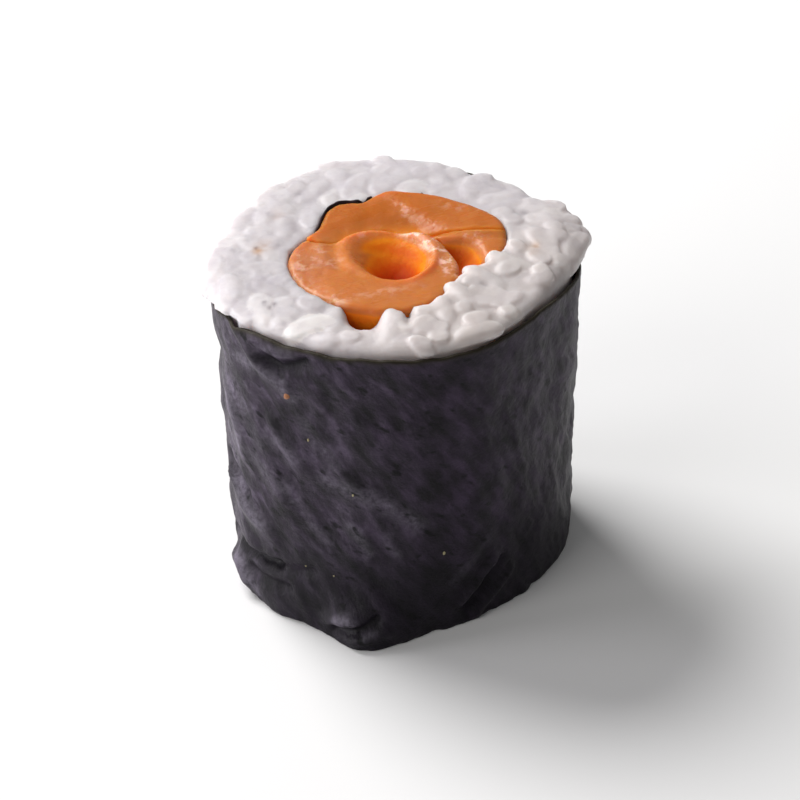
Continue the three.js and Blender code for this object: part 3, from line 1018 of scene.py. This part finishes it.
# Bands of painted glints, pale flesh that stands for wet highlights, as (start, end, half width, strength).
PAINTED_GLINT_BANDS = [
    ((0.9, 3.7), (2.8, 1.9), 0.7, 0.8),
    ((2.8, 1.9), (4.5, -0.7), 1.0, 1.0),
    ((4.5, -0.7), (5.0, -3.6), 0.7, 0.8),
    ((-3.6, 3.0), (-1.6, 4.1), 0.6, 0.35),
    ((-9.0, -5.6), (-5.6, -8.2), 0.9, 0.35),
    ((-5.6, -8.2), (-0.6, -6.8), 0.8, 0.22),
    ((-0.6, -6.8), (2.2, -5.9), 0.6, 0.14),
    ((-9.0, -3.6), (-8.6, -0.4), 1.0, 0.5),
    ((-7.4, 0.4), (-6.2, -1.6), 0.9, 0.4),
    ((0.2, 7.6), (1.4, 6.1), 0.6, 0.35),
    ((4.2, 8.3), (6.6, 7.2), 0.9, 0.2),
    ((6.6, 3.0), (7.8, 2.3), 0.7, 0.5),
]


def rounded(side, height, radius):
    """The field of an upright slice with its upper edge rounded."""
    a, b = side + radius, height + radius
    return np.minimum(np.maximum(a, b), 0) + np.hypot(np.maximum(a, 0), np.maximum(b, 0)) - radius


def curl_side(x, y):
    """How far points lie outside the curl's region: a drum, a tail on the left and all that lies nearest."""
    x, y = x + 0.25 * np.sin(0.9 * y + 1.0), y + 0.3 * np.sin(0.8 * x + 0.6) + 0.03 * np.sin(2.3 * x)
    drum = polar_about(CURL_CENTRE, x, y)[0] - CURL_RADIUS
    tail = np.maximum(x - CURL_CENTRE[0], y - CURL_TAIL_Y - 0.5 * fade(-x, 6.0, 9.0))
    return soft_min(soft_min(drum, tail, 0.8), y - CURL_FOOT_Y, 0.8)


def curl_top(x, y, spots):
    """The curl's upper face: a lip round the hollow, a groove before the tail and a lower tail."""
    lip = (0.3 + 0.7 * fade(x + y, -4, 0)) * bell(hollow_share(x, y) - 1.2, 0.22)
    groove = bell(from_line(x, y, *TAIL_GROOVE)[0], 0.8)
    tail = fade(-x, 5.5, 9)
    return FILLING_TOP - 0.45 + 0.45 * lip - 0.3 * groove - 0.3 * tail + 0.1 * noise(spots, 2.5, 2)


def crescent_top(x, y, spots):
    """The crescent's upper face: it dips beside the curl and steps up along a slanting ridge."""
    step = fade(from_line(x, y, *CRESCENT_RIDGE)[1], -0.8, 0.9)
    dip = 0.55 * bell(polar_about(CURL_CENTRE, x, y)[0] - CURL_RADIUS, 1.8)
    return FILLING_TOP - 0.3 + 0.25 * step - dip + 0.14 * noise(spots, 3.0, 4)


def wedge_top(x, y, spots):
    """The wedge's upper face: it runs on from the crescent, with a deep valley beside the curl."""
    valley = (1 - fade(curl_side(x, y), 0.4, 3.6)) * fade(2.9 - y, 0, 2.6)
    bank = FILLING_TOP - 0.35 - 2.5 * valley - 0.12 * np.clip(2 - y, 0, 5) + 0.12 * noise(spots, 2.0, 5)
    behind = crescent_top(x, y, spots) - 0.05
    return behind + (bank - behind) * fade(WEDGE_EDGE_Y - y, 0.0, 1.2)


def across_hollow(x, y):
    """Places across the hollow's oval, which is turned and becomes a circle of radius 1."""
    x, y = x - HOLLOW_MIDDLE[0], y - HOLLOW_MIDDLE[1]
    c, s = np.cos(HOLLOW_TURN), np.sin(HOLLOW_TURN)
    return (x * c + y * s) / HOLLOW_RADII[0], (y * c - x * s) / HOLLOW_RADII[1]


def hollow_share(x, y):
    """0 at the hollow's deepest point, which lies towards its near side, 1 at its rim and more outside."""
    a, b = across_hollow(*HOLLOW_TIP)
    u, v = across_hollow(x, y)
    u, v = u - a, v - b
    room = 1 - a * a - b * b
    dot = a * u + b * v
    return (dot + np.sqrt(dot**2 + (u**2 + v**2) * room)) / room


def hollow_field(x, y, z):
    """How far inside the hollow points lie. Its far side slopes and its near side is steep."""
    share = hollow_share(x, y)
    floor = FILLING_TOP - 0.25 - HOLLOW_DEPTH * (1 - share**HOLLOW_CURVE)
    run = np.maximum(np.hypot(x - HOLLOW_TIP[0], y - HOLLOW_TIP[1]), 0.3)
    slope = HOLLOW_DEPTH * HOLLOW_CURVE * share**HOLLOW_CURVE / run
    return (z - floor) / np.hypot(1, slope)


def slice_field(around, seam, height, seam_rounding=SEAM_ROUNDING):
    """A slice rounded at the rice and, less so, where it meets its neighbours."""
    return np.maximum(rounded(around, height, SLICE_ROUNDING), rounded(seam, height, seam_rounding))


def slice_fields(axes):
    """The three slices as fields on one grid."""
    x, y, z = np.meshgrid(*axes, indexing="ij")
    spots = points_at(x, y, z)
    x, y = x / girth(z), y / girth(z)
    around = beside_filling(x, y)[0] - 0.08 + 0.1 * noise(spots, 2.2, 21) + 0.05 * noise(spots, 0.7, 22)
    curl = curl_side(x, y)
    wedge = np.maximum(CURL_CENTRE[0] - x, y - WEDGE_EDGE_Y)
    not_curl = soft_max(0.02 - curl, 0.02 - wedge, 0.3)
    height = z - curl_top(x, y, spots)
    solid = slice_field(around, curl + 0.02, height, SEAM_ROUNDING + 0.4 * fade(x, -6.0, -3.5))
    far = fade(y, -3.5, 1.0)
    hollow = hollow_field(x, y, z)
    return {
        "curl": soft_max(solid, hollow, 0.8) * (1 - far) + soft_max(solid, hollow, 1.7) * far,
        "crescent": slice_field(around, not_curl, z - crescent_top(x, y, spots)),
        "wedge": slice_field(around, np.maximum(wedge + 0.02, 0.02 - curl), z - wedge_top(x, y, spots)),
    }


def torn(points):
    """1 at the torn left end of the curl's tail, 0 elsewhere."""
    x, y, _ = points.T
    return hump(np.arctan2(y + 1.0, x), 187, 30) * fade(-x, 5.0, 7.5)


def flesh_shade_and_glow(x, y, z):
    """Painted shade and glow of the flesh: deeper red in the hollow and the valley, and a painted orange
    glow in the seams and on the shaded near wall.
    """
    side = curl_side(x, y)
    beside = np.abs(side)
    below = FILLING_TOP - z
    hollow = fade(below, 0.5, 4.6) * fade(1.5 - hollow_share(x, y), 0, 0.3)
    # Less on the hollow's shaded left wall, so that its painted colour stays lighter there.
    hollow *= 1.08 + 0.35 * np.clip((x - HOLLOW_MIDDLE[0]) / HOLLOW_RADII[0], -1, 1)
    valley = 0.5 * fade(below, 0.5, 1.7) * (1 - fade(beside, 1.8, 3.6)) * (beside_filling(x, y)[0] < -1.2)
    # Painted glow: brighter orange on the shaded near wall, and in the seams in place of their shade.
    near_wall_glow = 0.38 * fade(-7.5 - y, 0, 1.5) * fade(below, 0.8, 1.8)
    wedge_seam_glow = 0.13 * bell(y - WEDGE_EDGE_Y, 0.3) * (side > -0.1) * (x > CURL_CENTRE[0])
    tail_seam_glow = 0.1 * bell(beside, 0.3) * fade(-x, 4.0, 5.5)
    return np.clip(np.maximum.reduce([hollow, valley, near_wall_glow, wedge_seam_glow, tail_seam_glow]), 0, 1)


def slice_values(points):
    """How the flesh looks at each point, for its material to read: its painted shade and glow with depth,
    its paler and duller places, and its painted glints.
    """
    x, y, z = points.T
    # Painted glints along the bands, fading away below the top.
    painted_glints = sum(share * bell(from_line(x, y, *ends)[0], half) for *ends, half, share in PAINTED_GLINT_BANDS)
    rich = bell(np.hypot(x + 1.8, y - 6.6), 2.6)
    return {
        "depth": flesh_shade_and_glow(x, y, z),
        "pale": torn(points),
        "dull": (curl_side(x, y) > 0) * fade(y, 2.0, 4.5) * (0.55 + 0.45 * rich),
        "painted_glints": np.clip(painted_glints * (1 - fade(FILLING_TOP - z, 0.9, 1.7)), 0, 1),
    }


def build_slice(name, field, axes, material):
    points, faces = surface_of(np.maximum(field, 0.02 - axes[2]), axes)
    fibres = 0.05 * octaves(points, (1.4, 1.4, 5.0), 3, 3)
    points = roughened(points, faces, fibres + torn(points) * 0.07 * octaves(points, 0.9, 2, 31))
    values = slice_values(points)
    make_piece(f"salmon_{name}_flesh", points, faces, material, f"salmon_{name}", values)


def build_salmon():
    axes = block_axes(11.6, SALMON_PITCH, 1.7, 24.7, 1.15)
    material = salmon_material()
    for name, field in slice_fields(axes).items():
        build_slice(name, field, axes, material)


# ---- Flecks on the wrap ----

FLECK_SHAPE = (0.8, 0.6, 1.1)

# Flecks on the wrap as (degrees round, height, size, warmth).
WRAP_FLECKS = [
    (234.8, 26.2, 0.36, 0.5),
    (241.2, 21.6, 0.15, 0.95),
    (256.2, 16.4, 0.13, 1.0),
    (286.0, 9.3, 0.18, 1.0),
    (238.5, 6.6, 0.1, 1.0),
    (249.0, 6.4, 0.1, 1.0),
]


def ball():
    """Points and triangles of a ball of radius 1."""
    shape = bmesh.new()
    bmesh.ops.create_icosphere(shape, subdivisions=2, radius=1.0)
    points = np.array([vert.co[:] for vert in shape.verts])
    faces = np.array([[vert.index for vert in face.verts] for face in shape.faces])
    shape.free()
    return points, faces


def build_flecks():
    rng = np.random.default_rng(5)
    points, faces = ball()
    lumps = []
    for turn, z, size, _ in WRAP_FLECKS:
        reach = wrap_sheet(np.array(deg(turn)), np.array(z), FOOT_TUCKS)
        uneven = 1 + 0.3 * noise(points + rng.uniform(0, 30, 3), 0.8)
        lumps.append(points_round(reach, deg(turn), z) + points * uneven[:, None] * size * FLECK_SHAPE)
    faces = np.vstack([faces + index * len(points) for index in range(len(lumps))])
    warm = np.repeat([row[3] for row in WRAP_FLECKS], len(points))
    make_piece("flecks", np.vstack(lumps), faces, fleck_material(), None, {"warm": warm})


# ---- Floor, light and camera ----

CAMERA_ELEVATION = deg(32.5)
CAMERA_DISTANCE = 0.55
CAMERA_LENS = 263
CAMERA_AIM = (0.37, 0.17, 16.0)
LAMP_AIM = (0, 0, 0.02)
FLOOR_SIZE = 6
FLOOR_DROP = 0.0001
SKY_STRENGTH = 0.2

# Lamps as (name, place, size, power, colour). Lamps, floor and camera distance are in metres.
LAMPS = [
    ("key", (-0.36, 0.33, 0.52), 0.42, 5.8, (1.0, 0.99, 0.985)),
    ("front", (-0.42, -0.42, 0.42), 0.4, 1.2, (1.0, 0.98, 0.96)),
    ("left", (-0.6, -0.05, 0.12), 0.3, 1.9, (0.98, 0.96, 1.0)),
]


def build_floor():
    bpy.ops.mesh.primitive_plane_add(size=FLOOR_SIZE, location=(0, 0, -FLOOR_DROP))
    floor = bpy.context.object
    floor.name = "floor"
    floor.data.materials.append(floor_material())


def put_looking(data, place, target):
    """Puts a lamp or the camera at a place so that it looks at a target."""
    holder = bpy.data.objects.new(data.name, data)
    holder.location = place
    holder.rotation_euler = (Vector(target) - Vector(place)).to_track_quat("-Z", "Y").to_euler()
    bpy.context.scene.collection.objects.link(holder)
    return holder


def add_lamp(name, place, size, power, colour):
    light = bpy.data.lights.new(name, "AREA")
    light.shape = "DISK"
    light.size = size
    light.energy = power
    light.color = colour
    put_looking(light, place, LAMP_AIM)


def build_camera():
    camera = bpy.data.cameras.new("camera")
    camera.lens = CAMERA_LENS
    camera.sensor_width = 36
    view = Vector((0, np.cos(CAMERA_ELEVATION), -np.sin(CAMERA_ELEVATION)))
    place = Vector(to_frame((0, 0, PIECE_HEIGHT))) - CAMERA_DISTANCE * view
    bpy.context.scene.camera = put_looking(camera, place, to_frame(CAMERA_AIM))


def build_world():
    world = bpy.data.worlds.new("world")
    world.use_nodes = True
    sky = world.node_tree.nodes["Background"]
    set_inputs(world.node_tree, sky, {"Color": (1, 1, 1), "Strength": SKY_STRENGTH})
    bpy.context.scene.world = world


build_camera()
build_wrap()
build_strip()
build_rice()
build_salmon()
build_flecks()
build_floor()
build_world()
for lamp in LAMPS:
    add_lamp(*lamp)
bpy.context.scene.view_settings.view_transform = "Standard"
